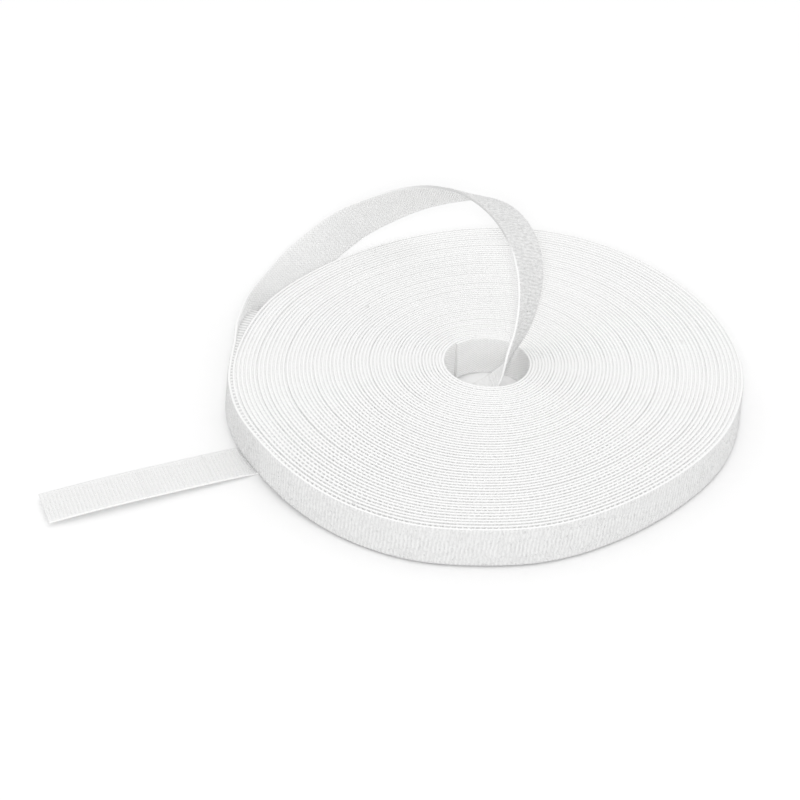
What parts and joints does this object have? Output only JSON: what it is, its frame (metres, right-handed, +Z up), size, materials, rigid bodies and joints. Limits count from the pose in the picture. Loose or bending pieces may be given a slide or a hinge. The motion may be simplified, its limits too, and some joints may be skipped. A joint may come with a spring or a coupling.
{
  "type": "hook and loop tape roll",
  "caption": "Flat coreless roll of white double-sided hook and loop tape, its free end arched over the roll, down through the bore and out underneath as a flat tail.",
  "frame": {"origin": "middle of the part's box, on the plane that the roll lies on; the roll's axis stands at about x = 37 mm", "axes": "+Z up along the roll's axis, -X towards the free tail, +Y away from the viewer of the picture"},
  "size_m": [0.3078, 0.227, 0.0752],
  "materials": {
    "wound_tape": "white woven nylon, turns on edge, matt",
    "hook_ribbon": "white woven nylon with rows of hooks, matt with a faint sheen",
    "loop_ribbon": "white napped nylon loops, soft matt"
  },
  "bodies": {
    "roll": {"inner_turns": "wound_tape", "outer_turns": "wound_tape", "lead_off_hook": "hook_ribbon", "lead_off_loop": "loop_ribbon", "arch_hook": "hook_ribbon", "arch_loop": "loop_ribbon", "bore_leg_hook": "hook_ribbon", "bore_leg_loop": "loop_ribbon", "under_strap_hook": "hook_ribbon", "under_strap_loop": "loop_ribbon"},
    "tail_root": {"tail_root_hook": "hook_ribbon", "tail_root_loop": "loop_ribbon"},
    "tail_mid": {"tail_mid_hook": "hook_ribbon", "tail_mid_loop": "loop_ribbon"},
    "tail_tip": {"tail_tip_hook": "hook_ribbon", "tail_tip_loop": "loop_ribbon"}
  },
  "joints": [
    {"name": "tail_lift", "type": "hinge", "parent": "roll", "child": "tail_root", "pos_m": [-0.06921, -0.05228, 0.0011], "axis": [-0.3947, 0.9188, 0], "range_deg": [0, 40]},
    {"name": "tail_curl_mid", "type": "hinge", "parent": "tail_root", "child": "tail_mid", "pos_m": [-0.09585, -0.06373, 0.0011], "axis": [-0.3947, 0.9188, 0], "range_deg": [0, 40]},
    {"name": "tail_curl_tip", "type": "hinge", "parent": "tail_mid", "child": "tail_tip", "pos_m": [-0.12342, -0.07557, 0.0011], "axis": [-0.3947, 0.9188, 0], "range_deg": [0, 40]}
  ],
  "couplings": [
    {"joint": "tail_curl_mid", "follows": "tail_lift", "ratio": 1},
    {"joint": "tail_curl_tip", "follows": "tail_lift", "ratio": 1}
  ]
}
